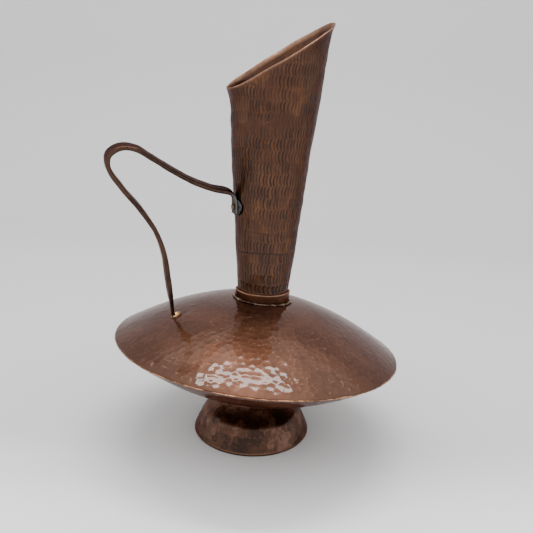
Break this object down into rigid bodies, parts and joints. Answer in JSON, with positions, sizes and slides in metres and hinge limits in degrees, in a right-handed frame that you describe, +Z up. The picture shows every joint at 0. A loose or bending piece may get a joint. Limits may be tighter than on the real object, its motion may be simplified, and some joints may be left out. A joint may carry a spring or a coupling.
{
  "type": "copper water jug",
  "caption": "Hammered copper water jug: flat disc-shaped body on a bell foot, tall chased neck cut at a slant to pour, forged strap handle.",
  "frame": {"origin": "middle of the foot's underside, on the surface the jug stands on", "axes": "+Z up, +X towards the pouring side of the slanted mouth, handle on the -X side, +Y to the left when facing the way it pours"},
  "size_m": [0.2253, 0.22, 0.3154],
  "materials": {
    "body_copper": "planished copper, lacquered, reddish brown",
    "foot_copper": "hammered copper, dark brown patina",
    "neck_copper": "chased copper, brown patina",
    "handle_copper": "forged copper, dark brown patina",
    "braze": "worn brass braze",
    "solder": "dull grey solder"
  },
  "bodies": {
    "root": {"foot": "foot_copper", "foot_braze": "braze", "lower_shell": "body_copper", "upper_shell": "body_copper", "rim_seam": "braze", "neck": "neck_copper", "neck_seam": "braze", "neck_collar": "body_copper", "collar_solder": "solder", "handle": "handle_copper", "handle_solder": "solder", "handle_braze": "braze", "handle_rivet": "handle_copper"}
  },
  "joints": []
}
